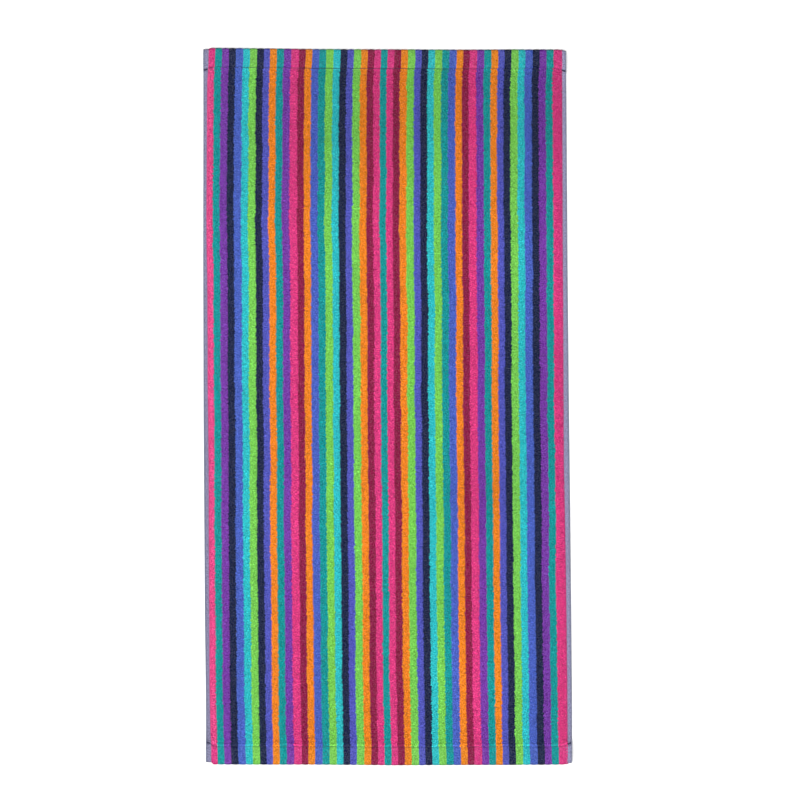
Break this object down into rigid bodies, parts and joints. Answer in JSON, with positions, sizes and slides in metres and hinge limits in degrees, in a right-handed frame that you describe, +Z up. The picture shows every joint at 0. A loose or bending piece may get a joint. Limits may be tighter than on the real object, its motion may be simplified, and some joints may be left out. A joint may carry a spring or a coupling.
{
  "type": "hand towel",
  "caption": "Flat rectangular hand towel of striped cut-pile towelling, with flat woven side edges and ends turned under and sewn down, lying face up.",
  "frame": {"origin": "under the middle of the towel's bounding box, on the surface that it lies on", "axes": "+X across the towel to the right, +Y along the towel to its upper hem, +Z up out of its face"},
  "size_m": [0.5056, 0.9844, 0.0042],
  "materials": {
    "striped_velour": "matt cut pile in lengthwise stripes of many colours, smooth and flat on the hems",
    "hem_thread": "matt navy sewing thread"
  },
  "bodies": {
    "root": {"towel_cloth": "striped_velour"}
  },
  "joints": []
}
